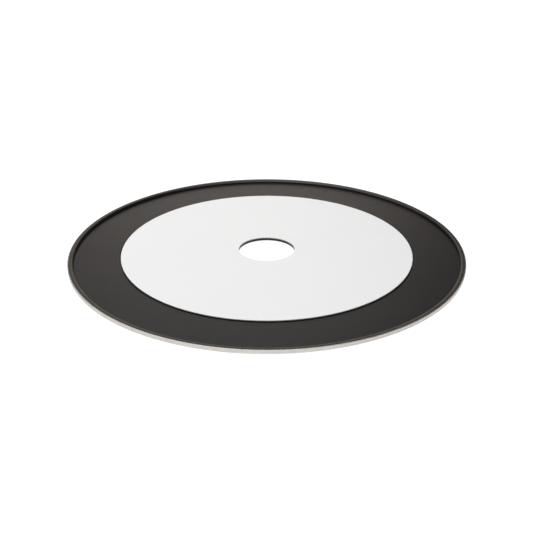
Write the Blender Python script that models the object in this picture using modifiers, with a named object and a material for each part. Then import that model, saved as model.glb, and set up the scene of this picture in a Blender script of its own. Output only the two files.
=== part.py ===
"""A low banding wheel: a 300 mm turntable head on a ring bearing that is open in the middle.

A thin pan with a raised rim carries a white laminate disc. Under the pan a hub ring is screwed to
the turning inner race of a four-point ball bearing. The outer race is split in two halves, which
six screws clamp to a flat base ring on rubber feet. Metres, +Z is the spin axis, the table is z = 0.
"""

import math

import bmesh
import bpy
from mathutils import Matrix, Vector

MM = 0.001

# Gaps
JOINT_GAP = 0.3 * MM  # between faces that are screwed together
THIN_GAP = 0.1 * MM  # under the bonded disc and round the flush heads
HOLE_GAP = 0.2 * MM  # round a shank in its hole
OVERSHOOT = 1 * MM  # how far a cutter runs past the face that it opens
MERGE_DISTANCE = 0.01 * MM

# Wheel head
HEAD_RADIUS = 150 * MM
PAN_FLOOR = 0.8 * MM
RIM_HEIGHT = 2.2 * MM  # above the pan's floor
RIM_WIDTH = 4.3 * MM
RIM_SLOPE = 0.2 * MM  # how far the rim's inner wall leans in at its foot
RIM_INNER_ROUND, RIM_OUTER_ROUND = 1.9 * MM, 0.35 * MM
HOLE_RADIUS = 21.3 * MM
LIP_WIDTH = 1.8 * MM  # of the pressed lip round the centre hole
LIP_DEPTH = 0.7 * MM
INSERT_RADIUS = 110.8 * MM
INSERT_THICKNESS = 1 * MM

# Hub ring, between the pan and the inner race
HUB_INNER, HUB_OUTER = 77 * MM, 106 * MM
HUB_THICKNESS = 3.1 * MM

# Four-point ball bearing
BALL_COUNT = 20
BALL_RADIUS = 3 * MM
PITCH_RADIUS = 92 * MM
RACE_CLEARANCE = 0.2 * MM  # between a ball and its race
RACE_GAP = 0.8 * MM  # from the pitch radius to each race's bore or rim
RACE_BOTTOM_FLAT = 0.5 * MM  # half width of the groove's flat bottom
INNER_RACE_BORE = 78 * MM
OUTER_RACE_RADIUS = 108 * MM
OUTER_HALF_HEIGHT = 4.6 * MM
INNER_RISE = 0.6 * MM  # how far the inner race stands above the outer one at each end
CAGE_THICKNESS = 0.8 * MM
CAGE_HALF_HEIGHT = 4.2 * MM
POCKET_RADIUS = 3.2 * MM

# Felt seal in the top of the outer race
SEAL_INNER, SEAL_OUTER = 95.3 * MM, 97.7 * MM
SEAL_HEIGHT = 1.4 * MM
SEAL_GROOVE_DEPTH = 1 * MM
SEAL_SIDE_GAP = 0.3 * MM

# Base ring and feet
BASE_INNER, BASE_OUTER = 76 * MM, 112 * MM
BASE_THICKNESS = 3 * MM
FOOT_COUNT = 4
FOOT_RADIUS = 8 * MM
FOOT_HEIGHT = 4 * MM
FOOT_RING = 90 * MM
FOOT_BORE, FOOT_COUNTERBORE = 1.9 * MM, 3.6 * MM
FOOT_COUNTERBORE_DEPTH = 2.4 * MM

# Fasteners
FASTENERS = 6  # in each ring of rivets or screws
SHANK_RADIUS = 1.5 * MM
SCREW_HEAD_RADIUS = 2.8 * MM
SCREW_POINT = 0.4 * MM  # chamfer at a screw's tip
SOCKET_RADIUS = 1.05 * MM
SOCKET_DEPTH = 0.9 * MM
SOCKET_SIDES = 6
RIVET_HEAD_RADIUS = 2.6 * MM
RIVET_HEAD_HEIGHT = 0.5 * MM
RIVET_TAIL_RADIUS = 2.2 * MM
RIVET_TAIL_HEIGHT = 0.7 * MM
RIVET_RING, HUB_SCREW_RING, RACE_SCREW_RING = 101 * MM, 84.5 * MM, 103 * MM
HUB_SCREW_LENGTH = 10 * MM
RACE_SCREW_LENGTH = 11.2 * MM
FOOT_SCREW_LENGTH = 4.6 * MM
FOOT_SCREW_HEAD_HEIGHT = 1.7 * MM
FOOT_SCREW_HEAD_SIDE = 0.68 * MM  # height of the head's straight side
FOOT_SCREW_HEAD_CROWN = 1.68 * MM  # radius of the head's flat top
TAP_DEPTH = 0.4 * MM  # of a blind hole past its screw's tip

# Facets round each kind of turned piece
PAN_SEGMENTS, RING_SEGMENTS, FOOT_SEGMENTS, FASTENER_SEGMENTS = 72, 56, 16, 10
ARC_STEPS = 2
BALL_SEGMENTS, BALL_RINGS = 10, 6
POCKET_SEGMENTS = 12
CAGE_SEGMENTS = 3 * BALL_COUNT  # a pocket lies inside three facets
SHARP_ANGLE = math.radians(35)

# Finishes: colour, roughness and metallic
FINISHES = {
    "coated_aluminium": ((0.080, 0.075, 0.068), 0.5, 0.0),
    "white_laminate": ((0.84, 0.84, 0.83), 0.4, 0.0),
    "bare_aluminium": ((0.78, 0.78, 0.77), 0.35, 1.0),
    "zinc_plated_steel": ((0.62, 0.63, 0.64), 0.35, 1.0),
    "polished_steel": ((0.75, 0.75, 0.76), 0.12, 1.0),
    "rivet_aluminium": ((0.70, 0.70, 0.69), 0.4, 1.0),
    "natural_nylon": ((0.72, 0.70, 0.62), 0.5, 0.0),
    "grey_felt": ((0.16, 0.16, 0.15), 0.95, 0.0),
    "black_rubber": ((0.03, 0.03, 0.03), 0.8, 0.0),
}

# Heights, from the table up
BASE_BOTTOM = FOOT_HEIGHT + JOINT_GAP
BASE_TOP = BASE_BOTTOM + BASE_THICKNESS
OUTER_BOTTOM = BASE_TOP + JOINT_GAP
RACE_CENTRE = OUTER_BOTTOM + OUTER_HALF_HEIGHT + JOINT_GAP / 2
OUTER_TOP = RACE_CENTRE + JOINT_GAP / 2 + OUTER_HALF_HEIGHT
INNER_BOTTOM = OUTER_BOTTOM + INNER_RISE
INNER_TOP = OUTER_TOP + INNER_RISE
HUB_BOTTOM = INNER_TOP + JOINT_GAP
HUB_TOP = HUB_BOTTOM + HUB_THICKNESS
PAN_BOTTOM = HUB_TOP + JOINT_GAP
FLOOR_TOP = PAN_BOTTOM + PAN_FLOOR
RIM_TOP = FLOOR_TOP + RIM_HEIGHT
INSERT_BOTTOM = FLOOR_TOP + THIN_GAP
INSERT_TOP = INSERT_BOTTOM + INSERT_THICKNESS


def clear_scene():
    """Removes the start-up file's objects."""
    for obj in list(bpy.data.objects):
        bpy.data.objects.remove(obj, do_unlink=True)


def collection(name):
    """A new collection under the scene's own."""
    made = bpy.data.collections.new(name)
    bpy.context.scene.collection.children.link(made)
    return made


def material(name, colour, roughness, metallic):
    """A plain finish, for telling the parts apart. scene.py gives them their real looks."""
    made = bpy.data.materials.new(name)
    made.use_nodes = True
    shader = made.node_tree.nodes["Principled BSDF"]
    shader.inputs["Base Color"].default_value = (*colour, 1)
    shader.inputs["Roughness"].default_value = roughness
    shader.inputs["Metallic"].default_value = metallic
    made.diffuse_color = (*colour, 1)
    return made


def empty(name, parts):
    """A parent whose origin is on the spin axis."""
    made = bpy.data.objects.new(name, None)
    made.empty_display_size = HOLE_RADIUS
    parts.objects.link(made)
    return made


def rounded(corners):
    """The outline through (radius, height, fillet) corners, with an arc at each fillet."""
    outline = []
    for i, (radius, height, fillet) in enumerate(corners):
        corner = Vector((radius, height))
        if not fillet:
            outline.append(corner)
            continue
        before = (Vector(corners[i - 1][:2]) - corner).normalized()
        after = (Vector(corners[(i + 1) % len(corners)][:2]) - corner).normalized()
        half = before.angle(after) / 2
        centre = corner + (before + after).normalized() * fillet / math.sin(half)
        first = corner + before * fillet / math.tan(half) - centre
        last = corner + after * fillet / math.tan(half) - centre
        start = math.atan2(first.y, first.x)
        turn = math.remainder(math.atan2(last.y, last.x) - start, math.tau)
        for step in range(ARC_STEPS + 1):
            angle = start + turn * step / ARC_STEPS
            outline.append(centre + fillet * Vector((math.cos(angle), math.sin(angle))))
    return outline


def outline_of(*corners):
    """An outline of sharp (radius, height) corners."""
    return [Vector(corner) for corner in corners]


def plain_ring(inner, outer, bottom, top):
    """The section of a flat ring."""
    return outline_of((outer, top), (outer, bottom), (inner, bottom), (inner, top))


def evaluated_mesh(obj, name):
    """The object's mesh with its modifiers applied, shaded smooth between sharp edges."""
    graph = bpy.context.evaluated_depsgraph_get()
    mesh = bpy.data.meshes.new_from_object(obj.evaluated_get(graph))
    mesh.name = name
    mesh.shade_smooth()
    mesh.set_sharp_from_angle(angle=SHARP_ANGLE)
    bpy.data.objects.remove(obj, do_unlink=True)
    return mesh


def turned_mesh(name, outline, segments, closed=True):
    """Turns an outline round Z. It runs down its outer side; a closed one is a ring's section."""
    profile = bpy.data.meshes.new(name + "_profile")
    count = len(outline)
    edges = [(i, i + 1) for i in range(count - 1)]
    if closed:
        edges.append((count - 1, 0))
    profile.from_pydata([(radius, 0, height) for radius, height in outline], edges, [])
    lathe = bpy.data.objects.new(name + "_lathe", profile)
    bpy.context.scene.collection.objects.link(lathe)
    screw = lathe.modifiers.new("Turn", "SCREW")
    screw.axis = "Z"
    screw.angle = math.tau
    screw.steps = screw.render_steps = segments
    screw.use_merge_vertices = True
    screw.merge_threshold = MERGE_DISTANCE
    return evaluated_mesh(lathe, name)


def place(name, mesh, finish, parts, parent, location=(0, 0, 0), turn=None):
    """Puts a mesh under a parent as one named part."""
    obj = bpy.data.objects.new(name, mesh)
    parts.objects.link(obj)
    if not mesh.materials:
        mesh.materials.append(finish)
    obj.parent = parent
    obj.matrix_local = Matrix.Translation(location) @ (turn or Matrix.Identity(4))
    return obj


def round_the_ring(count, radius, height, start=0.0):
    """(number, point) of each place in a ring of equal steps."""
    for i in range(count):
        angle = start + math.tau * i / count
        yield i + 1, Vector((radius * math.cos(angle), radius * math.sin(angle), height))


def cut(obj, tool_name, tool_mesh, cutters):
    """Takes a cutter away from an object with a Boolean."""
    tool = bpy.data.objects.new(tool_name, tool_mesh)
    cutters.objects.link(tool)
    tool.hide_render = True
    tool.display_type = "WIRE"
    boolean = obj.modifiers.new(tool_name, "BOOLEAN")
    boolean.operation = "DIFFERENCE"
    boolean.solver = "EXACT"
    boolean.object = tool


def drill_mesh(name, sections, points, segments=FASTENER_SEGMENTS):
    """One cutter for a ring of holes. Each section is (bottom, bottom radius, top, top radius)."""
    mesh = bpy.data.meshes.new(name)
    tool = bmesh.new()
    for point in points:
        for bottom, bottom_radius, top, top_radius in sections:
            middle = Vector((point.x, point.y, (bottom + top) / 2))
            bmesh.ops.create_cone(
                tool,
                cap_ends=True,
                segments=segments,
                radius1=bottom_radius,
                radius2=top_radius,
                depth=top - bottom,
                matrix=Matrix.Translation(middle),
            )
    tool.to_mesh(mesh)
    tool.free()
    return mesh


def drill(obj, name, sections, points, cutters):
    """Cuts a ring of stepped or countersunk holes, one cutter for each of its sections."""
    for step, section in enumerate(sections):
        cut(obj, f"{name}_{step + 1}", drill_mesh(name, [section], points), cutters)


def ring_points(count, radius, start=0.0):
    """The points of a ring of equal steps, at height zero."""
    return [point for _, point in round_the_ring(count, radius, 0, start)]


def countersunk_screw_mesh(name, length):
    """A flat-head socket screw along -Z, its head's face at z = 0."""
    cone = SCREW_HEAD_RADIUS - SHANK_RADIUS
    outline = outline_of(
        (0, 0),
        (SCREW_HEAD_RADIUS, 0),
        (SHANK_RADIUS, -cone),
        (SHANK_RADIUS, SCREW_POINT - length),
        (SHANK_RADIUS - SCREW_POINT, -length),
        (0, -length),
    )
    return socketed(name, outline, 0)


def pan_head_screw_mesh(name, length):
    """A button-head socket screw along -Z, the underside of its head at z = 0."""
    top = FOOT_SCREW_HEAD_HEIGHT
    outline = outline_of(
        (0, top),
        (FOOT_SCREW_HEAD_CROWN, top),
        (SCREW_HEAD_RADIUS, FOOT_SCREW_HEAD_SIDE),
        (SCREW_HEAD_RADIUS, 0),
        (SHANK_RADIUS, 0),
        (SHANK_RADIUS, SCREW_POINT - length),
        (SHANK_RADIUS - SCREW_POINT, -length),
        (0, -length),
    )
    return socketed(name, outline, top)


def socketed(name, outline, top):
    """A turned screw with a six-sided socket sunk in its head."""
    blank = turned_mesh(name + "_blank", outline, FASTENER_SEGMENTS, closed=False)
    screw = bpy.data.objects.new(name + "_blank", blank)
    bpy.context.scene.collection.objects.link(screw)
    key = bpy.data.objects.new(
        name + "_key",
        drill_mesh(
            name + "_key",
            [(top - SOCKET_DEPTH, SOCKET_RADIUS, top + SOCKET_DEPTH, SOCKET_RADIUS)],
            [Vector((0, 0, 0))],
            segments=SOCKET_SIDES,
        ),
    )
    bpy.context.scene.collection.objects.link(key)
    boolean = screw.modifiers.new("Socket", "BOOLEAN")
    boolean.solver = "EXACT"
    boolean.object = key
    mesh = evaluated_mesh(screw, name)
    bpy.data.objects.remove(key, do_unlink=True)
    return mesh


def rivet_mesh(name, length):
    """A flush rivet along -Z: a thin countersunk head at z = 0 and a formed tail."""
    outline = outline_of(
        (0, 0),
        (RIVET_HEAD_RADIUS, 0),
        (SHANK_RADIUS, -RIVET_HEAD_HEIGHT),
        (SHANK_RADIUS, RIVET_TAIL_HEIGHT - length),
        (RIVET_TAIL_RADIUS, -length),
        (0, -length),
    )
    return turned_mesh(name, outline, FASTENER_SEGMENTS, closed=False)


def make_wheel_head(finish, parts, parent, cutters):
    rim_inner = HEAD_RADIUS - RIM_WIDTH
    lip = HOLE_RADIUS + LIP_WIDTH
    outline = rounded(
        [
            (rim_inner, RIM_TOP, RIM_INNER_ROUND),
            (HEAD_RADIUS, RIM_TOP, RIM_OUTER_ROUND),
            (HEAD_RADIUS, PAN_BOTTOM, 0),
            (lip, PAN_BOTTOM, 0),
            (lip - LIP_DEPTH, PAN_BOTTOM - LIP_DEPTH, 0),
            (HOLE_RADIUS, PAN_BOTTOM - LIP_DEPTH, 0),
            (HOLE_RADIUS, FLOOR_TOP, 0),
            (rim_inner - RIM_SLOPE, FLOOR_TOP, 0),
        ]
    )
    mesh = turned_mesh("wheel_head", outline, PAN_SEGMENTS)
    pan = place("wheel_head", mesh, finish, parts, parent)
    head_top = FLOOR_TOP + RIVET_HEAD_HEIGHT - THIN_GAP
    flare = (RIVET_HEAD_RADIUS - SHANK_RADIUS) / RIVET_HEAD_HEIGHT
    wide = RIVET_HEAD_RADIUS + THIN_GAP
    drill(
        pan,
        "rivet_hole",
        [
            (PAN_BOTTOM - OVERSHOOT, SHANK_RADIUS + HOLE_GAP, RIM_TOP, SHANK_RADIUS + HOLE_GAP),
            (
                FLOOR_TOP - THIN_GAP - RIVET_HEAD_HEIGHT,
                SHANK_RADIUS + THIN_GAP,
                head_top,
                wide + flare * (head_top - FLOOR_TOP + THIN_GAP),
            ),
        ],
        ring_points(FASTENERS, RIVET_RING),
        cutters,
    )


def make_insert(finish, parts, parent):
    outline = plain_ring(HOLE_RADIUS, INSERT_RADIUS, INSERT_BOTTOM, INSERT_TOP)
    mesh = turned_mesh("centre_insert", outline, PAN_SEGMENTS)
    place("centre_insert", mesh, finish, parts, parent)


def make_hub(finish, steel, rivet_finish, parts, parent, cutters):
    mesh = turned_mesh(
        "hub_ring", plain_ring(HUB_INNER, HUB_OUTER, HUB_BOTTOM, HUB_TOP), RING_SEGMENTS
    )
    hub = place("hub_ring", mesh, finish, parts, parent)
    hole = SHANK_RADIUS + HOLE_GAP
    through = (HUB_BOTTOM - OVERSHOOT, hole, HUB_TOP + OVERSHOOT, hole)
    tail_flare = (RIVET_TAIL_RADIUS - SHANK_RADIUS) / RIVET_TAIL_HEIGHT
    drill(
        hub,
        "hub_rivet_hole",
        [
            through,
            (
                HUB_BOTTOM - OVERSHOOT,
                RIVET_TAIL_RADIUS + HOLE_GAP + tail_flare * OVERSHOOT,
                HUB_BOTTOM + RIVET_TAIL_HEIGHT + THIN_GAP,
                hole,
            ),
        ],
        ring_points(FASTENERS, RIVET_RING),
        cutters,
    )
    screw_start = math.pi / FASTENERS
    head = SCREW_HEAD_RADIUS - SHANK_RADIUS
    drill(
        hub,
        "hub_screw_hole",
        [
            through,
            (
                HUB_TOP - THIN_GAP - head,
                hole,
                HUB_TOP + OVERSHOOT,
                SCREW_HEAD_RADIUS + HOLE_GAP + OVERSHOOT + THIN_GAP,
            ),
        ],
        ring_points(FASTENERS, HUB_SCREW_RING, screw_start),
        cutters,
    )
    rivet_top = FLOOR_TOP - THIN_GAP
    rivet = rivet_mesh("hub_rivet", rivet_top - HUB_BOTTOM - THIN_GAP)
    for number, point in round_the_ring(FASTENERS, RIVET_RING, rivet_top):
        place(f"hub_rivet_{number}", rivet, rivet_finish, parts, parent, point)
    screw = countersunk_screw_mesh("hub_screw", HUB_SCREW_LENGTH)
    for number, point in round_the_ring(
        FASTENERS, HUB_SCREW_RING, HUB_TOP - THIN_GAP, screw_start
    ):
        place(f"hub_screw_{number}", screw, steel, parts, parent, point)


def groove_reach(distance):
    """How far from the pitch line a race's 45 degree face is, at a distance along the other way."""
    return (BALL_RADIUS + RACE_CLEARANCE) * math.sqrt(2) - distance


def make_inner_race(finish, parts, parent, cutters):
    face = PITCH_RADIUS - RACE_GAP
    mouth = groove_reach(RACE_GAP)
    floor = PITCH_RADIUS - groove_reach(RACE_BOTTOM_FLAT)
    outline = outline_of(
        (face, INNER_TOP),
        (face, RACE_CENTRE + mouth),
        (floor, RACE_CENTRE + RACE_BOTTOM_FLAT),
        (floor, RACE_CENTRE - RACE_BOTTOM_FLAT),
        (face, RACE_CENTRE - mouth),
        (face, INNER_BOTTOM),
        (INNER_RACE_BORE, INNER_BOTTOM),
        (INNER_RACE_BORE, INNER_TOP),
    )
    mesh = turned_mesh("inner_race", outline, RING_SEGMENTS)
    race = place("inner_race", mesh, finish, parts, parent)
    tip = HUB_TOP - THIN_GAP - HUB_SCREW_LENGTH
    hole = SHANK_RADIUS + HOLE_GAP
    drill(
        race,
        "inner_race_tap",
        [(tip - TAP_DEPTH, hole, INNER_TOP + OVERSHOOT, hole)],
        ring_points(FASTENERS, HUB_SCREW_RING, math.pi / FASTENERS),
        cutters,
    )


def make_cage(finish, ball_finish, parts, parent, cutters):
    half = CAGE_THICKNESS / 2
    outline = plain_ring(
        PITCH_RADIUS - half,
        PITCH_RADIUS + half,
        RACE_CENTRE - CAGE_HALF_HEIGHT,
        RACE_CENTRE + CAGE_HALF_HEIGHT,
    )
    mesh = turned_mesh("ball_cage", outline, CAGE_SEGMENTS)
    cage = place("ball_cage", mesh, finish, parts, parent)
    pockets = bpy.data.meshes.new("ball_pockets")
    tool = bmesh.new()
    for _, point in round_the_ring(BALL_COUNT, PITCH_RADIUS, RACE_CENTRE):
        outward = Vector((point.x, point.y, 0)).to_track_quat("Z", "Y").to_matrix().to_4x4()
        bmesh.ops.create_cone(
            tool,
            cap_ends=True,
            segments=POCKET_SEGMENTS,
            radius1=POCKET_RADIUS,
            radius2=POCKET_RADIUS,
            depth=2 * BALL_RADIUS,
            matrix=Matrix.Translation(point) @ outward,
        )
    tool.to_mesh(pockets)
    tool.free()
    cut(cage, "ball_pockets", pockets, cutters)

    ball = bpy.data.meshes.new("ball")
    sphere = bmesh.new()
    bmesh.ops.create_uvsphere(
        sphere, u_segments=BALL_SEGMENTS, v_segments=BALL_RINGS, radius=BALL_RADIUS
    )
    sphere.to_mesh(ball)
    sphere.free()
    ball.shade_smooth()
    for number, point in round_the_ring(BALL_COUNT, PITCH_RADIUS, RACE_CENTRE):
        place(f"ball_{number:02d}", ball, ball_finish, parts, parent, point)


def make_outer_race(finish, seal_finish, steel, parts, parent, cutters):
    face = PITCH_RADIUS + RACE_GAP
    mouth = groove_reach(RACE_GAP)
    split = JOINT_GAP / 2
    deep = PITCH_RADIUS + groove_reach(split)
    lower = outline_of(
        (OUTER_RACE_RADIUS, RACE_CENTRE - split),
        (OUTER_RACE_RADIUS, OUTER_BOTTOM),
        (face, OUTER_BOTTOM),
        (face, RACE_CENTRE - mouth),
        (deep, RACE_CENTRE - split),
    )
    groove_floor = OUTER_TOP - SEAL_GROOVE_DEPTH
    groove_inner, groove_outer = SEAL_INNER - SEAL_SIDE_GAP, SEAL_OUTER + SEAL_SIDE_GAP
    upper = outline_of(
        (OUTER_RACE_RADIUS, OUTER_TOP),
        (OUTER_RACE_RADIUS, RACE_CENTRE + split),
        (deep, RACE_CENTRE + split),
        (face, RACE_CENTRE + mouth),
        (face, OUTER_TOP),
        (groove_inner, OUTER_TOP),
        (groove_inner, groove_floor),
        (groove_outer, groove_floor),
        (groove_outer, OUTER_TOP),
    )
    seal_bottom = groove_floor + HOLE_GAP
    seal = plain_ring(SEAL_INNER, SEAL_OUTER, seal_bottom, seal_bottom + SEAL_HEIGHT)
    points = ring_points(FASTENERS, RACE_SCREW_RING)
    head_bottom = BASE_BOTTOM + THIN_GAP
    tip = head_bottom + RACE_SCREW_LENGTH
    hole = SHANK_RADIUS + HOLE_GAP
    for name, outline in (("outer_race_lower", lower), ("outer_race_upper", upper)):
        mesh = turned_mesh(name, outline, RING_SEGMENTS)
        race = place(name, mesh, finish, parts, parent)
        section = (OUTER_BOTTOM - OVERSHOOT, hole, tip + TAP_DEPTH, hole)
        drill(race, name + "_hole", [section], points, cutters)
    place(
        "dust_seal", turned_mesh("dust_seal", seal, RING_SEGMENTS), seal_finish, parts, parent
    )
    screw = countersunk_screw_mesh("race_screw", RACE_SCREW_LENGTH)
    upwards = Matrix.Rotation(math.pi, 4, "X")
    for number, point in round_the_ring(FASTENERS, RACE_SCREW_RING, head_bottom):
        place(f"race_screw_{number}", screw, steel, parts, parent, point, upwards)


def make_base(finish, rubber, steel, parts, parent, cutters):
    mesh = turned_mesh(
        "base_ring", plain_ring(BASE_INNER, BASE_OUTER, BASE_BOTTOM, BASE_TOP), RING_SEGMENTS
    )
    base = place("base_ring", mesh, finish, parts, parent)
    hole = SHANK_RADIUS + HOLE_GAP
    through = (BASE_BOTTOM - OVERSHOOT, hole, BASE_TOP + OVERSHOOT, hole)
    head = SCREW_HEAD_RADIUS - SHANK_RADIUS
    drill(
        base,
        "base_screw_hole",
        [
            through,
            (
                BASE_BOTTOM - OVERSHOOT,
                SCREW_HEAD_RADIUS + HOLE_GAP + OVERSHOOT + THIN_GAP,
                BASE_BOTTOM + THIN_GAP + head,
                hole,
            ),
        ],
        ring_points(FASTENERS, RACE_SCREW_RING),
        cutters,
    )
    feet_start = math.pi / FOOT_COUNT
    feet = ring_points(FOOT_COUNT, FOOT_RING, feet_start)
    drill(base, "foot_tap", [through], feet, cutters)

    foot_outline = outline_of(
        (FOOT_BORE, FOOT_HEIGHT),
        (FOOT_RADIUS, FOOT_HEIGHT),
        (FOOT_RADIUS, 0),
        (FOOT_COUNTERBORE, 0),
        (FOOT_COUNTERBORE, FOOT_COUNTERBORE_DEPTH),
        (FOOT_BORE, FOOT_COUNTERBORE_DEPTH),
    )
    foot = turned_mesh("foot", foot_outline, FOOT_SEGMENTS)
    screw = pan_head_screw_mesh("foot_screw", FOOT_SCREW_LENGTH)
    upwards = Matrix.Rotation(math.pi, 4, "X")
    seat = Vector((0, 0, FOOT_COUNTERBORE_DEPTH - HOLE_GAP))
    for number, point in round_the_ring(FOOT_COUNT, FOOT_RING, 0, feet_start):
        place(f"foot_{number}", foot, rubber, parts, parent, point)
        place(f"foot_screw_{number}", screw, steel, parts, parent, point + seat, upwards)


def main():
    clear_scene()
    parts = collection("banding_wheel")
    cutters = collection("cutters")
    finish = {name: material(name, *look) for name, look in FINISHES.items()}
    aluminium, steel = finish["bare_aluminium"], finish["zinc_plated_steel"]

    wheel_axis = empty("wheel_axis", parts)
    cage_axis = empty("cage_axis", parts)
    base_frame = empty("base_frame", parts)
    make_wheel_head(finish["coated_aluminium"], parts, wheel_axis, cutters)
    make_insert(finish["white_laminate"], parts, wheel_axis)
    make_hub(aluminium, steel, finish["rivet_aluminium"], parts, wheel_axis, cutters)
    make_inner_race(aluminium, parts, wheel_axis, cutters)
    make_cage(finish["natural_nylon"], finish["polished_steel"], parts, cage_axis, cutters)
    make_outer_race(aluminium, finish["grey_felt"], steel, parts, base_frame, cutters)
    make_base(aluminium, finish["black_rubber"], steel, parts, base_frame, cutters)
    bpy.context.view_layer.update()


main()
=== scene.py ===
"""Looks of the low banding wheel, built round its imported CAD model. Metres, +Z is the spin axis."""

import math

import bmesh
import bpy
from mathutils import Matrix, Vector


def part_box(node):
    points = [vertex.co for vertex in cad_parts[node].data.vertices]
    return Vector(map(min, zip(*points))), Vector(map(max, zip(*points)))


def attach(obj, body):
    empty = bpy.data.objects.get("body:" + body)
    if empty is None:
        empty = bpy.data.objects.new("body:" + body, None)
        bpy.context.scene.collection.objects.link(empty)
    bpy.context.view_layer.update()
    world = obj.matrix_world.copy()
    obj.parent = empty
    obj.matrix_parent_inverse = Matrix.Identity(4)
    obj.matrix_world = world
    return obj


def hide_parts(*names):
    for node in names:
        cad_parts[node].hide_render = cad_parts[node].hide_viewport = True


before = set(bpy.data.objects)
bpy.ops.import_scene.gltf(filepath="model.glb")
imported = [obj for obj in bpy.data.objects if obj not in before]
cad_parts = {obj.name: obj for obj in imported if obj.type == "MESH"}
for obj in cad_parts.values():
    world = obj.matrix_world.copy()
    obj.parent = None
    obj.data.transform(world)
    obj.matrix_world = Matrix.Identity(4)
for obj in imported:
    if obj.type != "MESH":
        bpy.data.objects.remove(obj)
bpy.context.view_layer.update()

MM = 0.001

# Detail of the fine meshes
PAN_SEGMENTS, RING_SEGMENTS, FOOT_SEGMENTS, FASTENER_SEGMENTS = 288, 192, 64, 40
BALL_SEGMENTS, BALL_RINGS = 40, 20
ARC_STEPS = 4
HOLD = 0.12  # of a fillet: how far past its ends an extra ring keeps the flats flat in shading
SHARP_ANGLE = math.radians(32)
ON_AXIS = 1e-9  # metres: a turned outline's point that is closer than this becomes a single vertex

# Gaps and cutters
BOND_GAP = 0.1 * MM  # under the disc and round the flush heads
HOLE_GAP = 0.2 * MM  # round a shank in its hole
OVERSHOOT = 1 * MM  # how far a cutter runs past the face that it opens

# The sizes below are those that the boxes of the CAD nodes don't give.
# Pan
HOLE_RADIUS = 21.3 * MM
LIP_WIDTH = 1.8 * MM  # of the lip round the hole
LIP_DEPTH = 0.7 * MM  # how far the lip is pressed below the pan
RIM_WIDTH = 4.3 * MM
RIM_SLOPE = 0.2 * MM  # how far the rim's inner wall leans in at its foot
RIM_INNER_ROUND, RIM_OUTER_ROUND = 1.85 * MM, 0.36 * MM
CREST_RING = 1.2 * MM  # in from the outer wall, a ring that keeps the rim's flat top flat in shading
BARE_WIDTH = 0.64 * MM  # of the bare strip on the outer side of the crest
WALL_LINE_SHARE = 0.42  # of the outer wall's height, where a fine turned line runs round it
WALL_LINE_HALF, WALL_LINE_DEPTH = 0.14 * MM, 0.15 * MM

# Disc
DISC_GROOVE_DEPTH = 0.4 * MM  # of the fine groove in the pan round the disc's foot
SKIN = 0.03 * MM  # how far the white face reaches down past its rounded edges
DISC_SHOULDER, DISC_HOLE_ROUND = 0.30 * MM, 0.12 * MM  # fillets at its outer edge and at its hole

# Hub ring, races, seal and cage
HUB_INNER = 77 * MM
INNER_RACE_BORE = 78 * MM
RACE_GAP = 0.8 * MM  # from the pitch radius to each race's bore or rim
RACE_BOTTOM_FLAT = 0.5 * MM  # half width of the groove's flat bottom
RACE_EDGE, GROOVE_EDGE = 0.25 * MM, 0.15 * MM  # fillets at a race's ends and at its groove's mouth
GROOVE_REACH = 3.2 * MM * math.sqrt(2)  # from the pitch line to the tip of a race's 45 degree groove
SEAL_INNER = 95.3 * MM
SEAL_DEPTH = 1.0 * MM
SEAL_SIDE_GAP = 0.3 * MM
CAGE_INNER = 91.6 * MM
POCKET_RADIUS = 3.2 * MM

# Base and feet
BASE_INNER = 76 * MM
FEET = 4
FOOT_BORE, FOOT_COUNTERBORE, FOOT_COUNTERBORE_DEPTH = 1.9 * MM, 3.6 * MM, 2.4 * MM
GRIP_DEPTH = 0.35 * MM  # of the rings moulded in a foot's sole
GRIP_HALF_SHARE = 0.04  # of the foot's radius: half of a ring's width

# Screws and rivets
FASTENERS = 6  # in each ring
SHANK_RADIUS = 1.5 * MM
HEAD_RADIUS = 2.8 * MM
SCREW_POINT = 0.4 * MM  # chamfer at a screw's tip
SOCKET_RADIUS, SOCKET_DEPTH, SOCKET_SIDES = 1.05 * MM, 0.9 * MM, 6
THREAD_PITCH, THREAD_DEPTH = 0.5 * MM, 0.16 * MM
TAP_DEPTH = 0.4 * MM  # of a blind hole past its screw's tip
RIVET_HEAD_RADIUS, RIVET_HEAD_HEIGHT = 2.6 * MM, 0.5 * MM
RIVET_TAIL_RADIUS, RIVET_TAIL_HEIGHT = 2.2 * MM, 0.7 * MM


def top_of(node):
    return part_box(node)[1].z


def bottom_of(node):
    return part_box(node)[0].z


def radius_of(node):
    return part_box(node)[1].x


def centre_of(node):
    low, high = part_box(node)
    return Vector(((low.x + high.x) / 2, (low.y + high.y) / 2, 0))


def centres(prefix, count):
    """Where the CAD puts each of a ring of numbered nodes."""
    return [centre_of(f"{prefix}_{i}") for i in range(1, count + 1)]


# ---------------------------------------------------------------- materials


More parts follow.
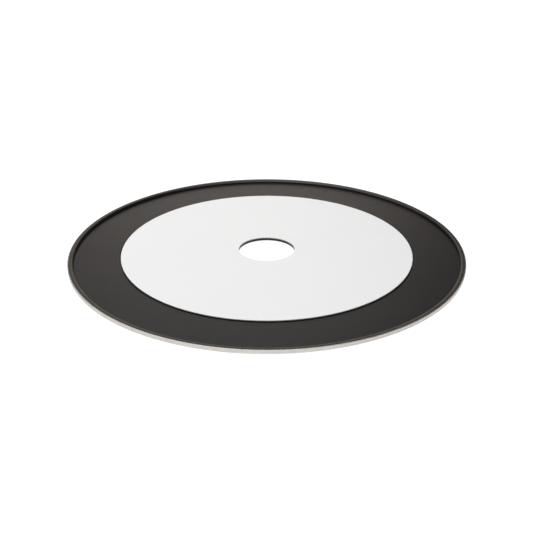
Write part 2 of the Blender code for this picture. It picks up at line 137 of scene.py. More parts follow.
class Nodes:
    """A Principled material and short calls that add nodes to it."""

    def __init__(self, name, colour, roughness, metallic=0.0, **sockets):
        self.material = bpy.data.materials.new(name)
        self.material.use_nodes = True
        self.tree = self.material.node_tree
        self.shader = self.tree.nodes["Principled BSDF"]
        self.material.diffuse_color = (*colour, 1)
        self.set("Base Color", (*colour, 1))
        self.set("Roughness", roughness)
        self.set("Metallic", metallic)
        for socket, value in sockets.items():
            self.set(socket.replace("_", " "), value)
        self.place = self.add("ShaderNodeTexCoord").outputs["Object"]

    def set(self, socket, value):
        self.shader.inputs[socket].default_value = value

    def add(self, kind, **values):
        node = self.tree.nodes.new(kind)
        for name, value in values.items():
            setattr(node, name, value)
        return node

    def join(self, output, node, socket):
        self.tree.links.new(output, node.inputs[socket])

    def noise(self, scale, detail=4, roughness=0.55, stretch=None):
        """Noise of a size given in cycles per metre, stretched along the axes if asked."""
        node = self.add("ShaderNodeTexNoise")
        node.inputs["Scale"].default_value = scale
        node.inputs["Detail"].default_value = detail
        node.inputs["Roughness"].default_value = roughness
        place = self.place
        if stretch:
            mapping = self.add("ShaderNodeMapping")
            mapping.inputs["Scale"].default_value = stretch
            self.join(place, mapping, "Vector")
            place = mapping.outputs["Vector"]
        self.join(place, node, "Vector")
        return node.outputs["Fac"]

    def maths(self, operation, first, second):
        node = self.add("ShaderNodeMath", operation=operation)
        for socket, value in enumerate((first, second)):
            if isinstance(value, (int, float)):
                node.inputs[socket].default_value = value
            else:
                self.join(value, node, socket)
        return node.outputs["Value"]

    def along(self, axis):
        split = self.add("ShaderNodeSeparateXYZ")
        self.join(self.place, split, "Vector")
        return split.outputs[axis]

    def radius(self):
        """The distance from the spin axis, in metres."""
        x, y = self.along("X"), self.along("Y")
        squares = self.maths("ADD", self.maths("MULTIPLY", x, x), self.maths("MULTIPLY", y, y))
        return self.maths("POWER", squares, 0.5)

    def rings(self, pitch, wander=0.5):
        """Fine concentric lines, as a lathe leaves, about a pitch apart, in metres."""
        uneven = self.maths("MULTIPLY", self.noise(25, 2), wander * pitch)
        lines = self.add("ShaderNodeTexNoise", noise_dimensions="1D")
        lines.inputs["Scale"].default_value = 1 / pitch
        lines.inputs["Detail"].default_value = 3
        self.join(self.maths("ADD", self.radius(), uneven), lines, "W")
        return lines.outputs["Fac"]

    def spread(self, value, low, high, start=0.3, end=0.7):
        """Maps a pattern onto the range from low to high."""
        node = self.add("ShaderNodeMapRange", clamp=True)
        self.join(value, node, "Value")
        for socket, number in zip(("From Min", "From Max", "To Min", "To Max"), (start, end, low, high)):
            node.inputs[socket].default_value = number
        return node.outputs["Result"]

    def mix(self, value, first, second):
        """A colour between two, where each is a colour or another node's output."""
        node = self.add("ShaderNodeMix", data_type="RGBA")
        self.join(value, node, 0)
        for socket, colour in ((6, first), (7, second)):
            if isinstance(colour, tuple):
                node.inputs[socket].default_value = (*colour, 1)
            else:
                self.tree.links.new(colour, node.inputs[socket])
        return node.outputs[2]

    def colour(self, output):
        self.join(output, self.shader, "Base Color")

    def roughness(self, output):
        self.join(output, self.shader, "Roughness")

    def bump(self, *layers):
        """Bumps of (pattern, depth in metres), one on top of the other."""
        below = None
        for pattern, depth in layers:
            node = self.add("ShaderNodeBump")
            node.inputs["Strength"].default_value = 1
            node.inputs["Distance"].default_value = depth
            self.join(pattern, node, "Height")
            if below:
                self.join(below, node, "Normal")
            below = node.outputs["Normal"]
        self.join(below, self.shader, "Normal")


def dark_coating():
    """Satin brown-black coat with a faint orange peel, smoother on the rim's crest and lighter there,
    partly as rubbed wear and partly as a painted highlight line.
    """
    n = Nodes("dark_coating", (0.008, 0.0066, 0.0058), 0.32, IOR=1.42)
    base = n.mix(n.spread(n.noise(35, 5), 0, 1), (0.0068, 0.0056, 0.0050), (0.0092, 0.0076, 0.0066))
    rim = top_of("wheel_head")
    crest = n.spread(n.along("Z"), 0, 1, rim - 0.35 * MM, rim - 0.02 * MM)
    # Lighter brown on the rim's crest: partly rubbed wear, partly a painted highlight line along the
    # crest.
    wear_and_highlight = n.maths("MULTIPLY", crest, n.spread(n.noise(260, 5, 0.7), 0.25, 0.8, 0.35, 0.65))
    n.colour(n.mix(wear_and_highlight, base, (0.050, 0.044, 0.033)))
    uneven = n.spread(n.noise(90, 6, 0.65), 0.29, 0.35)
    n.roughness(n.maths("SUBTRACT", uneven, n.maths("MULTIPLY", crest, 0.08)))
    n.bump((n.noise(1300, 3), 0.004 * MM), (n.noise(5200, 2), 0.002 * MM))
    return n.material


def white_laminate():
    """The disc's matte white face, with a hardly visible mottle."""
    n = Nodes("white_laminate", (0.80, 0.80, 0.80), 0.36, IOR=1.45)
    n.colour(n.mix(n.spread(n.noise(24, 6, 0.6), 0, 1), (0.782, 0.782, 0.782), (0.794, 0.794, 0.794)))
    n.roughness(n.spread(n.noise(60, 6), 0.33, 0.39))
    n.bump((n.noise(2600, 4, 0.6), 0.003 * MM))
    return n.material


def laminate_core():
    """The grey-brown paper core that shows at the disc's edges, near-black along its foot as a glue line
    and as painted contact shadow.
    """
    n = Nodes("laminate_core", (0.30, 0.30, 0.28), 0.62)
    layers = n.noise(9000, 3, 0.5, (0.02, 0.02, 1))
    grey = n.mix(n.spread(layers, 0, 1), (0.29, 0.29, 0.27), (0.38, 0.38, 0.35))
    low, high = bottom_of("centre_insert"), top_of("centre_insert")
    # Near-black towards the core's foot: a glue line, and painted shade of the contact line where the
    # disc meets the pan.
    height = n.spread(n.along("Z"), 0, 1, low + 0.10 * (high - low), low + 0.35 * (high - low))
    n.colour(n.mix(height, (0.004, 0.0038, 0.0034), grey))
    n.roughness(n.spread(n.noise(800), 0.55, 0.7))
    n.bump((layers, 0.02 * MM))
    return n.material


def turned_aluminium():
    """Bare aluminium with the fine rings of a lathe tool."""
    colour, roughness = (0.76, 0.75, 0.73), 0.33
    n = Nodes("turned_aluminium", colour, roughness, 1.0)
    lines = n.rings(pitch=0.30 * MM)
    dull = tuple(0.92 * c for c in colour)
    patches = n.mix(n.spread(n.noise(45, 5), 0, 1), dull, colour)
    n.colour(n.mix(n.spread(lines, 0.30, 0.0, 0.3, 0.5), patches, tuple(0.70 * c for c in colour)))
    n.roughness(n.spread(n.noise(160, 5, 0.6), roughness - 0.05, roughness + 0.08))
    n.bump((lines, 0.010 * MM))
    return n.material


def bare_edge():
    """The pan's outer wall: satin, slightly warm, with marks that run round the wheel."""
    n = Nodes("bare_edge", (0.60, 0.57, 0.54), 0.42, 1.0)
    bands = n.noise(4200, 4, 0.6, (0.02, 0.02, 1))
    n.colour(n.mix(n.spread(bands, 0, 1), (0.53, 0.505, 0.48), (0.62, 0.59, 0.56)))
    n.roughness(n.spread(n.noise(300, 5), 0.36, 0.5))
    n.bump((bands, 0.004 * MM))
    return n.material


def zinc_plate():
    """The screws' bluish plating, uneven in colour and gloss."""
    n = Nodes("zinc_plate", (0.58, 0.60, 0.62), 0.28, 1.0)
    n.colour(n.mix(n.spread(n.noise(380, 4), 0, 1), (0.52, 0.54, 0.57), (0.66, 0.66, 0.64)))
    n.roughness(n.spread(n.noise(900, 5), 0.22, 0.38))
    n.bump((n.noise(4200, 3), 0.004 * MM))
    return n.material


def rivet_aluminium():
    """Soft aluminium with the fine dents of the rivet set."""
    n = Nodes("rivet_aluminium", (0.72, 0.72, 0.71), 0.36, 1.0)
    n.colour(n.mix(n.spread(n.noise(700, 4), 0, 1), (0.66, 0.66, 0.65), (0.77, 0.77, 0.76)))
    n.roughness(n.spread(n.noise(1200, 4), 0.3, 0.46))
    n.bump((n.noise(3000, 3), 0.006 * MM))
    return n.material


def polished_steel():
    """The balls: bright steel with faint rolling haze."""
    n = Nodes("polished_steel", (0.76, 0.76, 0.77), 0.08, 1.0)
    n.colour(n.mix(n.spread(n.noise(500, 3), 0, 1), (0.72, 0.72, 0.74), (0.80, 0.80, 0.80)))
    n.roughness(n.spread(n.noise(1500, 6, 0.7), 0.05, 0.14))
    n.bump((n.noise(2500, 2), 0.0008 * MM))
    return n.material


def natural_nylon():
    """The cage: cream nylon that lets a little light in."""
    n = Nodes("natural_nylon", (0.70, 0.67, 0.58), 0.45, Subsurface_Weight=0.25)
    n.set("Subsurface Radius", (1.0, 0.8, 0.6))
    n.set("Subsurface Scale", 0.6 * MM)
    n.colour(n.mix(n.spread(n.noise(160, 4), 0, 1), (0.66, 0.63, 0.54), (0.74, 0.71, 0.63)))
    n.roughness(n.spread(n.noise(700, 4), 0.4, 0.54))
    n.bump((n.noise(1800, 3), 0.01 * MM))
    return n.material


def grey_felt():
    """The seal: pressed felt with its fibres."""
    n = Nodes("grey_felt", (0.13, 0.13, 0.125), 0.95, Sheen_Weight=0.4)
    fibres = n.noise(3500, 8, 0.75)
    n.colour(n.mix(n.spread(fibres, 0, 1), (0.08, 0.08, 0.078), (0.20, 0.20, 0.19)))
    n.roughness(n.spread(n.noise(900), 0.88, 1.0))
    n.bump((fibres, 0.12 * MM))
    return n.material


def black_rubber():
    """The feet: dull rubber, greyed a little in patches."""
    n = Nodes("black_rubber", (0.018, 0.018, 0.018), 0.72)
    n.colour(n.mix(n.spread(n.noise(250, 5), 0, 1), (0.013, 0.013, 0.013), (0.030, 0.029, 0.028)))
    n.roughness(n.spread(n.noise(700, 5), 0.62, 0.84))
    n.bump((n.noise(3200, 4, 0.7), 0.02 * MM))
    return n.material


# ---------------------------------------------------------------- shapes


def rounded(corners, steps=ARC_STEPS):
    """The outline through (radius, height, fillet, finish) corners, with an arc at each fillet.

    A corner's finish covers the wall that follows it. Each arc has a close ring beyond both ends."""
    outline = []
    for i, (radius, height, fillet, finish) in enumerate(corners):
        corner = Vector((radius, height))
        if not fillet:
            outline.append((corner, finish))
            continue
        before = (Vector(corners[i - 1][:2]) - corner).normalized()
        after = (Vector(corners[(i + 1) % len(corners)][:2]) - corner).normalized()
        half = before.angle(after) / 2
        reach = fillet / math.tan(half)
        centre = corner + (before + after).normalized() * fillet / math.sin(half)
        first, last = corner + before * reach - centre, corner + after * reach - centre
        start = math.atan2(first.y, first.x)
        turn = math.remainder(math.atan2(last.y, last.x) - start, math.tau)
        finish_before = corners[i - 1][3]
        outline.append((corner + before * (reach + HOLD * fillet), finish_before))
        for step in range(steps + 1):
            angle = start + turn * step / steps
            outline.append((centre + fillet * Vector((math.cos(angle), math.sin(angle))), finish))
        outline.append((corner + after * (reach + HOLD * fillet), finish))
    return outline


def softened(points, fillet, finish=0, steps=2):
    """A closed outline through (radius, height) points, with one small fillet at every corner."""
    return rounded([(radius, height, fillet, finish) for radius, height in points], steps)


def ring_section(inner, outer, bottom, top):
    return [(outer, top), (outer, bottom), (inner, bottom), (inner, top)]


def shade(mesh):
    """Smooth shading between sharp edges."""
    mesh.shade_smooth()
    mesh.set_sharp_from_angle(angle=SHARP_ANGLE)


def turned(name, outline, segments, finishes, closed=True):
    """Turns an outline of (point, finish) round Z. It runs down its outer side."""
    shape = bmesh.new()
    rings = []
    for (radius, height), _ in outline:
        if radius < ON_AXIS:
            rings.append([shape.verts.new((0, 0, height))])
            continue
        angles = [math.tau * i / segments for i in range(segments)]
        places = [(radius * math.cos(angle), radius * math.sin(angle), height) for angle in angles]
        rings.append([shape.verts.new(place) for place in places])
    count = len(outline)
    for k in range(count if closed else count - 1):
        upper, lower = rings[k], rings[(k + 1) % count]
        for i in range(segments):
            j = (i + 1) % segments
            turns = ((upper, i), (lower, i), (lower, j), (upper, j))
            corners = [ring[turn % len(ring)] for ring, turn in turns]
            face = shape.faces.new(list(dict.fromkeys(corners)))
            face.material_index = outline[k][1]
    bmesh.ops.recalc_face_normals(shape, faces=shape.faces)
    mesh = bpy.data.meshes.new(name)
    shape.to_mesh(mesh)
    shape.free()
    for finish in finishes:
        mesh.materials.append(finish)
    shade(mesh)
    return mesh


def add(name, mesh, location=(0, 0, 0), turn=None):
    """Puts a mesh in the scene as an object."""
    obj = bpy.data.objects.new(name, mesh)
    bpy.context.scene.collection.objects.link(obj)
    obj.matrix_world = Matrix.Translation(location) @ (turn or Matrix.Identity(4))
    return obj


def frustums(sections, points, segments=FASTENER_SEGMENTS):
    """Cutters, one for each (bottom, bottom radius, top, top radius), with a frustum at every point."""
    cutters = []
    for bottom, bottom_radius, top, top_radius in sections:
        shape = bmesh.new()
        for point in points:
            middle = Vector((point[0], point[1], (bottom + top) / 2))
            bmesh.ops.create_cone(
                shape, cap_ends=True, segments=segments, radius1=bottom_radius, radius2=top_radius,
                depth=top - bottom, matrix=Matrix.Translation(middle),
            )
        mesh = bpy.data.meshes.new("cutter")
        shape.to_mesh(mesh)
        shape.free()
        cutters.append(mesh)
    return cutters


def cut(mesh, cutters):
    """The mesh with each cutter taken away by a Boolean, in turn."""
    for cutter in cutters:
        work, tool = add("work", mesh), add("tool", cutter)
        boolean = work.modifiers.new("cut", "BOOLEAN")
        boolean.solver = "EXACT"
        boolean.object = tool
        graph = bpy.context.evaluated_depsgraph_get()
        result = bpy.data.meshes.new_from_object(work.evaluated_get(graph))
        name = mesh.name
        for obj in (work, tool):
            bpy.data.objects.remove(obj, do_unlink=True)
        mesh.name = name + "_uncut"
        result.name = name
        mesh = result
    shade(mesh)
    return mesh


def finished(piece, body, node):
    """Says which body a piece rides on and which CAD node it stands for, and hides that node."""
    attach(piece, body)
    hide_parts(node)


def set_round(name, mesh, node, count, height, body, turn=None):
    """One piece at each of a ring of numbered nodes, with its origin at a height."""
    for i, place in enumerate(centres(node, count), 1):
        piece = add(f"{name}_{i}", mesh, place + Vector((0, 0, height)), turn)
        finished(piece, body, f"{node}_{i}")


def thread(radius, top, bottom):
    """The outline of a threaded length, from its top to its bottom."""
    turns = int((top - bottom) / THREAD_PITCH)
    outline = []
    for i in range(turns):
        height = top - i * THREAD_PITCH
        outline += [(radius, height), (radius - THREAD_DEPTH, height - THREAD_PITCH / 2)]
    return outline


# ---------------------------------------------------------------- pieces


def make_pan(coat, edge, under):
    """The wheel head: coated inside, bare on its outer wall and underneath."""
    COAT, EDGE, UNDER = 0, 1, 2
    outer, rim_top = radius_of("wheel_head"), top_of("wheel_head")
    lip_bottom = bottom_of("wheel_head")
    bottom = lip_bottom + LIP_DEPTH
    floor = bottom_of("centre_insert") - BOND_GAP
    foot = outer - RIM_WIDTH - RIM_SLOPE
    lip = HOLE_RADIUS + LIP_WIDTH
    line = bottom + WALL_LINE_SHARE * (rim_top - bottom)
    disc, groove = radius_of("centre_insert"), floor - DISC_GROOVE_DEPTH
    inside, outside = 97 * MM, 105 * MM  # rings that keep the rivet holes' shading between them
    outline = rounded(
        [
            (outer - RIM_WIDTH, rim_top, RIM_INNER_ROUND, COAT),
            (outer - CREST_RING, rim_top, 0, COAT),
            (outer - BARE_WIDTH, rim_top, 0, EDGE),
            (outer, rim_top, RIM_OUTER_ROUND, EDGE),
            (outer, line + WALL_LINE_HALF, 0, EDGE),
            (outer - WALL_LINE_DEPTH, line, 0, EDGE),
            (outer, line - WALL_LINE_HALF, 0, EDGE),
            (outer, bottom, 0.45 * MM, UNDER),
            (outside, bottom, 0, UNDER),
            (inside, bottom, 0, UNDER),
            (lip, bottom, 0.2 * MM, UNDER),
            (lip - LIP_DEPTH, lip_bottom, 0.2 * MM, UNDER),
            (HOLE_RADIUS, lip_bottom, 0.12 * MM, COAT),
            (HOLE_RADIUS, floor, 0.1 * MM, COAT),
            (inside, floor, 0, COAT),
            (outside, floor, 0, COAT),
            (disc - 1.2 * MM, floor, 0.1 * MM, COAT),
            (disc - 1.0 * MM, groove, 0, COAT),
            (disc + 1.0 * MM, groove, 0, COAT),
            (disc + 1.1 * MM, floor, 0.1 * MM, COAT),
            (foot, floor, 0, COAT),
        ]
    )
    mesh = turned("turntable_pan", outline, PAN_SEGMENTS, (coat, edge, under))
    flare = (RIVET_HEAD_RADIUS - SHANK_RADIUS) / RIVET_HEAD_HEIGHT
    sections = [
        (lip_bottom - OVERSHOOT, SHANK_RADIUS + HOLE_GAP, rim_top, SHANK_RADIUS + HOLE_GAP),
        (
            floor - BOND_GAP - RIVET_HEAD_HEIGHT, SHANK_RADIUS + BOND_GAP,
            floor - BOND_GAP + OVERSHOOT, RIVET_HEAD_RADIUS + BOND_GAP + flare * OVERSHOOT,
        ),
    ]
    mesh = cut(mesh, frustums(sections, centres("hub_rivet", FASTENERS)))
    finished(add("turntable_pan", mesh), "wheel", "wheel_head")


def make_disc(white, core):
    """The white disc: a white skin over a grey core."""
    WHITE, CORE = 0, 1
    node = "centre_insert"
    outer, top, bottom = radius_of(node), top_of(node), bottom_of(node)
    outline = rounded(
        [
            (HOLE_RADIUS, top, DISC_HOLE_ROUND, WHITE),
            (outer, top, DISC_SHOULDER, WHITE),
            (outer, top - SKIN - DISC_SHOULDER, 0, CORE),
            (outer, bottom, 0.05 * MM, CORE),
            (HOLE_RADIUS, bottom, 0.05 * MM, CORE),
            (HOLE_RADIUS, top - SKIN - DISC_HOLE_ROUND, 0, WHITE),
        ]
    )
    mesh = turned("laminate_disc", outline, PAN_SEGMENTS, (white, core))
    finished(add("laminate_disc", mesh), "wheel", node)


def make_hub(metal):
    """The stiffening ring under the pan, with its rivet and screw holes."""
    outer, bottom, top = radius_of("hub_ring"), bottom_of("hub_ring"), top_of("hub_ring")
    outline = softened(ring_section(HUB_INNER, outer, bottom, top), 0.3 * MM)
    mesh = turned("hub_plate", outline, RING_SEGMENTS, (metal,))
    rivets, screws = centres("hub_rivet", FASTENERS), centres("hub_screw", FASTENERS)
    hole = SHANK_RADIUS + HOLE_GAP
    through = (bottom - OVERSHOOT, hole, top + OVERSHOOT, hole)
    mesh = cut(mesh, frustums([through], rivets + screws))
    head = HEAD_RADIUS - SHANK_RADIUS
    wide = HEAD_RADIUS + HOLE_GAP + OVERSHOOT + BOND_GAP
    sink = (top - BOND_GAP - head, hole, top + OVERSHOOT, wide)
    mesh = cut(mesh, frustums([sink], screws))
    wide = hole + HOLE_GAP + 2 * OVERSHOOT
    tail = (bottom - OVERSHOOT, wide, bottom + RIVET_TAIL_HEIGHT + BOND_GAP, hole)
    mesh = cut(mesh, frustums([tail], rivets))
    finished(add("hub_plate", mesh), "wheel", "hub_ring")


def make_races(metal):
    """The inner race and the two halves of the outer race, with 45 degree ball grooves."""
    split_low, split_high = top_of("outer_race_lower"), bottom_of("outer_race_upper")
    middle = (split_low + split_high) / 2
    pitch = CAGE_INNER / 2 + radius_of("ball_cage") / 2
    mouth = GROOVE_REACH - RACE_GAP
    floor = pitch - (GROOVE_REACH - RACE_BOTTOM_FLAT)
    face = radius_of("inner_race")
    bottom, top = bottom_of("inner_race"), top_of("inner_race")
    outline = rounded(
        [
            (face, top, RACE_EDGE, 0),
            (face, middle + mouth, GROOVE_EDGE, 0),
            (floor, middle + RACE_BOTTOM_FLAT, 0.2 * MM, 0),
            (floor, middle - RACE_BOTTOM_FLAT, 0.2 * MM, 0),
            (face, middle - mouth, GROOVE_EDGE, 0),
            (face, bottom, RACE_EDGE, 0),
            (INNER_RACE_BORE, bottom, 0.4 * MM, 0),
            (INNER_RACE_BORE, top, 0.4 * MM, 0),
        ],
        2,
    )
    mesh = turned("turning_race", outline, RING_SEGMENTS, (metal,))
    hole = SHANK_RADIUS + HOLE_GAP
    tap = (bottom_of("hub_screw_1") - TAP_DEPTH, hole, top + OVERSHOOT, hole)
    mesh = cut(mesh, frustums([tap], centres("hub_screw", FASTENERS)))
    finished(add("turning_race", mesh), "wheel", "inner_race")

    outer, face = radius_of("outer_race_upper"), pitch + RACE_GAP
    deep = pitch + GROOVE_REACH - (split_high - middle)
    low, high = bottom_of("outer_race_lower"), top_of("outer_race_upper")
    seal_out = radius_of("dust_seal") + SEAL_SIDE_GAP
    seal_in = SEAL_INNER - SEAL_SIDE_GAP
    lower = [
        (outer, split_low, 0.35 * MM, 0),
        (outer, low, 0.35 * MM, 0),
        (face, low, RACE_EDGE, 0),
        (face, middle - mouth, GROOVE_EDGE, 0),
        (deep, split_low, 0, 0),
    ]
    upper = [
        (outer, high, 0.5 * MM, 0),
        (outer, split_high, 0.35 * MM, 0),
        (deep, split_high, 0, 0),
        (face, middle + mouth, GROOVE_EDGE, 0),
        (face, high, RACE_EDGE, 0),
        (seal_in, high, 0.1 * MM, 0),
        (seal_in, high - SEAL_DEPTH, 0, 0),
        (seal_out, high - SEAL_DEPTH, 0, 0),
        (seal_out, high, 0.1 * MM, 0),
    ]
    through = (low - OVERSHOOT, hole, top_of("race_screw_1") + TAP_DEPTH, hole)
    for name, node, corners in (
        ("fixed_race_lower", "outer_race_lower", lower),
        ("fixed_race_upper", "outer_race_upper", upper),
    ):
        mesh = turned(name, rounded(corners, 3), RING_SEGMENTS, (metal,))
        mesh = cut(mesh, frustums([through], centres("race_screw", FASTENERS)))
        finished(add(name, mesh), "base", node)


def make_seal(felt):
    """The felt ring in the top of the outer race."""
    node = "dust_seal"
    section = ring_section(SEAL_INNER, radius_of(node), bottom_of(node), top_of(node))
    outline = softened(section, 0.35 * MM, steps=4)
    mesh = turned("felt_seal", outline, RING_SEGMENTS, (felt,))
    finished(add("felt_seal", mesh), "base", node)


def make_cage(nylon, steel):
    """The cage band with a round pocket for each ball, and the balls."""
    node = "ball_cage"
    bottom, top, outer = bottom_of(node), top_of(node), radius_of(node)
    outline = softened(ring_section(CAGE_INNER, outer, bottom, top), 0.15 * MM)
    mesh = turned("cage_band", outline, RING_SEGMENTS, (nylon,))
    balls = sorted(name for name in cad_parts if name.startswith("ball_") and name != node)
    shape = bmesh.new()
    middle = Vector((0, 0, (bottom + top) / 2))
    low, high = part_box(balls[0])
    radius = (high.z - low.z) / 2
    for ball in balls:
        place = centre_of(ball)
        outward = place.to_track_quat("Z", "Y").to_matrix().to_4x4()
        bmesh.ops.create_cone(
            shape, cap_ends=True, segments=FASTENER_SEGMENTS, radius1=POCKET_RADIUS,
            radius2=POCKET_RADIUS, depth=2 * radius, matrix=Matrix.Translation(place + middle) @ outward,
        )
    pockets = bpy.data.meshes.new("pockets")
    shape.to_mesh(pockets)
    shape.free()
    finished(add("cage_band", cut(mesh, [pockets])), "cage", node)

    angles = [math.pi * i / BALL_RINGS for i in range(BALL_RINGS)]
    half_circle = [(radius * Vector((math.sin(angle), math.cos(angle))), 0) for angle in angles]
    half_circle.append((Vector((0, -radius)), 0))
    sphere = turned("steel_ball", half_circle, BALL_SEGMENTS, (steel,), closed=False)
    for ball in balls:
        finished(add("steel_" + ball, sphere, centre_of(ball) + middle), "cage", ball)


def make_base(metal, rubber):
    """The ring that everything stands on, its screw holes, and the feet."""
    node = "base_ring"
    bottom, top = bottom_of(node), top_of(node)
    outline = softened(ring_section(BASE_INNER, radius_of(node), bottom, top), 0.4 * MM, steps=3)
    mesh = turned("base_plate", outline, RING_SEGMENTS, (metal,))
    screws = centres("race_screw", FASTENERS)
    hole = SHANK_RADIUS + HOLE_GAP
    through = (bottom - OVERSHOOT, hole, top + OVERSHOOT, hole)
    mesh = cut(mesh, frustums([through], screws + centres("foot", FEET)))
    head = HEAD_RADIUS - SHANK_RADIUS
    wide = HEAD_RADIUS + HOLE_GAP + OVERSHOOT + BOND_GAP
    sink = (bottom - OVERSHOOT, wide, bottom + BOND_GAP + head, hole)
    mesh = cut(mesh, frustums([sink], screws))
    finished(add("base_plate", mesh), "base", node)

    low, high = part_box("foot_1")
    radius, height = (high.x - low.x) / 2, high.z
    corners = [(FOOT_BORE, height, 0.2 * MM, 0), (radius, height, 0.4 * MM, 0), (radius, 0, 0.8 * MM, 0)]
    for share in (0.76, 0.58):  # of the foot's radius, where each grip ring is moulded
        corners += [
            ((share + GRIP_HALF_SHARE) * radius, 0, 0, 0),
            (share * radius, GRIP_DEPTH, 0, 0),
            ((share - GRIP_HALF_SHARE) * radius, 0, 0, 0),
        ]
    corners += [
        (FOOT_COUNTERBORE, 0, 0.3 * MM, 0),
        (FOOT_COUNTERBORE, FOOT_COUNTERBORE_DEPTH, 0.2 * MM, 0),
        (FOOT_BORE, FOOT_COUNTERBORE_DEPTH, 0.1 * MM, 0),
    ]
    mesh = turned("rubber_foot", rounded(corners), FOOT_SEGMENTS, (rubber,))
    set_round("rubber_foot", mesh, "foot", FEET, 0, "base")


def socketed(name, outline, top, finish):
    """A turned screw with a hexagon socket whose mouth is chamfered."""
    mesh = turned(name, outline, FASTENER_SEGMENTS, (finish,), closed=False)
    hexagon = (top - SOCKET_DEPTH, SOCKET_RADIUS, top + SOCKET_DEPTH, SOCKET_RADIUS)
    chamfer = (top - 0.12 * MM, SOCKET_RADIUS - 0.02 * MM, top + 0.3 * MM, SOCKET_RADIUS + 0.4 * MM)
    return cut(mesh, frustums([hexagon], [(0, 0)], SOCKET_SIDES) + frustums([chamfer], [(0, 0)]))


def open_outline(points, fillets):
    """An open outline from the axis to the axis, with a fillet where one is given."""
    corners = [(radius, height, fillets.get(i, 0), 0) for i, (radius, height) in enumerate(points)]
    return rounded(corners, 3)


def flat_screw(name, length, finish):
    """A flat-head socket screw along -Z with its head's face at 0 and a threaded shank."""
    cone = HEAD_RADIUS - SHANK_RADIUS
    points = [(0, 0), (HEAD_RADIUS, 0), (SHANK_RADIUS, -cone)]
    points += thread(SHANK_RADIUS, -cone - 0.6 * MM, SCREW_POINT - length)
    points += [(SHANK_RADIUS - SCREW_POINT, -length), (0, -length)]
    return socketed(name, open_outline(points, {1: 0.12 * MM}), 0, finish)


def button_screw(name, length, height, finish):
    """A button-head socket screw along -Z, the underside of its head at 0."""
    points = [(0, height), (0.6 * HEAD_RADIUS, height), (HEAD_RADIUS, 0.4 * height), (HEAD_RADIUS, 0)]
    points += [(SHANK_RADIUS, 0)] + thread(SHANK_RADIUS, -0.3 * MM, SCREW_POINT - length)
    points += [(SHANK_RADIUS - SCREW_POINT, -length), (0, -length)]
    fillets = {1: 0.5 * MM, 2: 0.4 * MM, 3: 0.1 * MM}
    return socketed(name, open_outline(points, fillets), height, finish)


def make_fasteners(zinc, metal):
    """The screws of the hub, races and feet, and the rivets that hold the pan."""
    upwards = Matrix.Rotation(math.pi, 4, "X")
    low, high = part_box("hub_screw_1")
    screw = flat_screw("hub_bolt", high.z - low.z, zinc)
    set_round("hub_bolt", screw, "hub_screw", FASTENERS, high.z, "wheel")

    low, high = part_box("race_screw_1")
    screw = flat_screw("race_bolt", high.z - low.z, zinc)
    set_round("race_bolt", screw, "race_screw", FASTENERS, low.z, "base", upwards)

    low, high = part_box("foot_screw_1")
    seat = FOOT_COUNTERBORE_DEPTH - HOLE_GAP
    screw = button_screw("foot_bolt", high.z - seat, seat - low.z, zinc)
    set_round("foot_bolt", screw, "foot_screw", FEET, seat, "base", upwards)

    low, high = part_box("hub_rivet_1")
    length = high.z - low.z
    points = [
        (0, 0), (RIVET_HEAD_RADIUS, 0), (SHANK_RADIUS, -RIVET_HEAD_HEIGHT),
        (SHANK_RADIUS, RIVET_TAIL_HEIGHT - length), (RIVET_TAIL_RADIUS, -length), (0, -length),
    ]
    outline = open_outline(points, {1: 0.05 * MM, 4: 0.08 * MM})
    rivet = turned("pan_rivet", outline, FASTENER_SEGMENTS, (metal,), closed=False)
    set_round("pan_rivet", rivet, "hub_rivet", FASTENERS, high.z, "wheel")


def make_pieces():
    """Every piece of the object, from the pan down to the feet, and then its fasteners."""
    metal = turned_aluminium()
    make_pan(dark_coating(), bare_edge(), metal)
    make_disc(white_laminate(), laminate_core())
    make_hub(metal)
    make_races(metal)
    make_seal(grey_felt())
    make_cage(natural_nylon(), polished_steel())
    make_base(metal, black_rubber())
    make_fasteners(zinc_plate(), rivet_aluminium())


# ---------------------------------------------------------------- stage, light and camera


def floor():
    """A plain pale floor with a faint glow of its own, so that shadows on it stay very light."""
    shape = bmesh.new()
    bmesh.ops.create_grid(shape, x_segments=1, y_segments=1, size=8)
    mesh = bpy.data.meshes.new("floor")
    shape.to_mesh(mesh)
    shape.free()
    n = Nodes("pale_floor", (0.3, 0.3, 0.3), 0.9, Emission_Strength=0.9)
    n.set("Specular IOR Level", 0.0)
    n.set("Emission Color", (1, 1, 1, 1))
    mesh.materials.append(n.material)
    just_below_the_feet = (0, 0, -0.02 * MM)
    add("floor", mesh, just_below_the_feet)


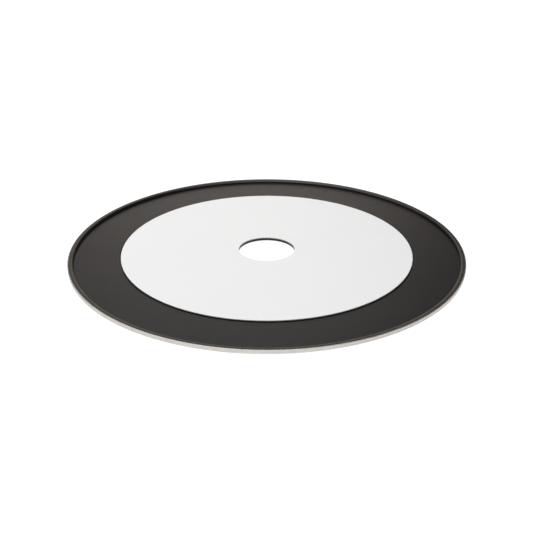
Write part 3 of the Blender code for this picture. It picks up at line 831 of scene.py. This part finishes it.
class Studio:
    """A soft studio as a sum of light areas by direction, with plain white for the camera to see."""

    def __init__(self, ambient):
        world = bpy.data.worlds.new("studio")
        bpy.context.scene.world = world
        world.use_nodes = True
        self.tree = world.node_tree
        self.background = self.tree.nodes["Background"]
        self.direction = self.tree.nodes.new("ShaderNodeTexCoord").outputs["Generated"]
        base = self.tree.nodes.new("ShaderNodeCombineXYZ")
        for socket, value in enumerate(ambient):
            base.inputs[socket].default_value = value
        self.total = base.outputs["Vector"]

    def step(self, axis, start, end):
        """0 to 1 as the direction's share along an axis goes from start to end."""
        dot = self.tree.nodes.new("ShaderNodeVectorMath")
        dot.operation = "DOT_PRODUCT"
        dot.inputs[1].default_value = axis
        self.tree.links.new(self.direction, dot.inputs[0])
        ramp = self.tree.nodes.new("ShaderNodeMapRange")
        ramp.interpolation_type = "SMOOTHSTEP"
        ramp.inputs["From Min"].default_value = start
        ramp.inputs["From Max"].default_value = end
        self.tree.links.new(dot.outputs["Value"], ramp.inputs["Value"])
        return ramp.outputs["Result"]

    def area(self, colour, *steps):
        """Adds light of a colour where every step is 1."""
        shown = steps[0]
        for other in steps[1:]:
            both = self.tree.nodes.new("ShaderNodeMath")
            both.operation = "MULTIPLY"
            self.tree.links.new(shown, both.inputs[0])
            self.tree.links.new(other, both.inputs[1])
            shown = both.outputs["Value"]
        scaled = self.tree.nodes.new("ShaderNodeVectorMath")
        scaled.operation = "SCALE"
        scaled.inputs[0].default_value = colour
        self.tree.links.new(shown, scaled.inputs["Scale"])
        added = self.tree.nodes.new("ShaderNodeVectorMath")
        added.operation = "ADD"
        self.tree.links.new(self.total, added.inputs[0])
        self.tree.links.new(scaled.outputs["Vector"], added.inputs[1])
        self.total = added.outputs["Vector"]

    def finish(self):
        """Lights the scene by the sum of the areas and shows the camera plain white."""
        seen = self.tree.nodes.new("ShaderNodeLightPath").outputs["Is Camera Ray"]
        pick = self.tree.nodes.new("ShaderNodeMix")
        pick.data_type = "RGBA"
        pick.inputs[7].default_value = (1, 1, 1, 1)
        self.tree.links.new(seen, pick.inputs[0])
        self.tree.links.new(self.total, pick.inputs[6])
        self.tree.links.new(pick.outputs[2], self.background.inputs["Color"])


def studio():
    """Light from overhead and from above the camera, a panel behind the wheel, and a lamp on the left."""
    x, y, z = (1, 0, 0), (0, 1, 0), (0, 0, 1)
    light = Studio((0.090, 0.088, 0.090))
    overhead, over_camera = (0, -0.20, 0.98), (0, -0.55, 0.835)
    light.area((1.00, 1.00, 1.00), light.step(overhead, 0.75, 0.93))
    light.area((1.25, 1.25, 1.25), light.step(over_camera, 0.74, 0.92))

    # The panel: a cool one that rises from the horizon, a warm one low in it and a patch at its foot
    behind, right_end = light.step(y, 0.2, 0.7), light.step((-1, 0, 0), -0.27, -0.03)
    cool_left_end, horizon = light.step(x, -0.38, -0.14), light.step(z, -0.02, 0.16)
    light.area((0.45, 0.445, 0.465), behind, right_end, cool_left_end, horizon)
    warm_left_end = light.step(x, -0.36, -0.10)
    low_end, high_end = light.step(z, 0.0, 0.14), light.step(z, 0.46, 0.28)
    light.area((0.44, 0.32, 0.18), behind, right_end, warm_left_end, low_end, high_end)
    patch_left_end, patch_top = light.step(x, -0.06, 0.04), light.step(z, 0.24, 0.10)
    light.area((0.36, 0.31, 0.24), behind, right_end, patch_left_end, patch_top)
    light.finish()

    lamp = bpy.data.lights.new("left_softbox", "AREA")
    lamp.size, lamp.energy = 1.2, 7.5
    obj = bpy.data.objects.new("left_softbox", lamp)
    bpy.context.scene.collection.objects.link(obj)
    obj.location = (-0.55, 0.05, 1.0)
    obj.rotation_euler = (-obj.location).to_track_quat("-Z", "Y").to_euler()


def camera():
    """The photograph's view: 4.46 head radii away and 24.9 degrees above the rim's plane."""
    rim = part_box("wheel_head")[1]
    distance = 4.4613 * rim.x
    above = math.radians(24.869)
    pitch = math.radians(26.12)
    data = bpy.data.cameras.new("camera")
    data.sensor_width = 36
    data.lens = 58.90
    data.shift_x = -0.0005
    data.clip_start, data.clip_end = 0.01, 50
    obj = bpy.data.objects.new("camera", data)
    bpy.context.scene.collection.objects.link(obj)
    obj.location = (0, -distance * math.cos(above), rim.z + distance * math.sin(above))
    obj.rotation_euler = (math.pi / 2 - pitch, 0, 0)
    bpy.context.scene.camera = obj


make_pieces()
floor()
studio()
camera()
bpy.context.scene.view_settings.view_transform = "Standard"
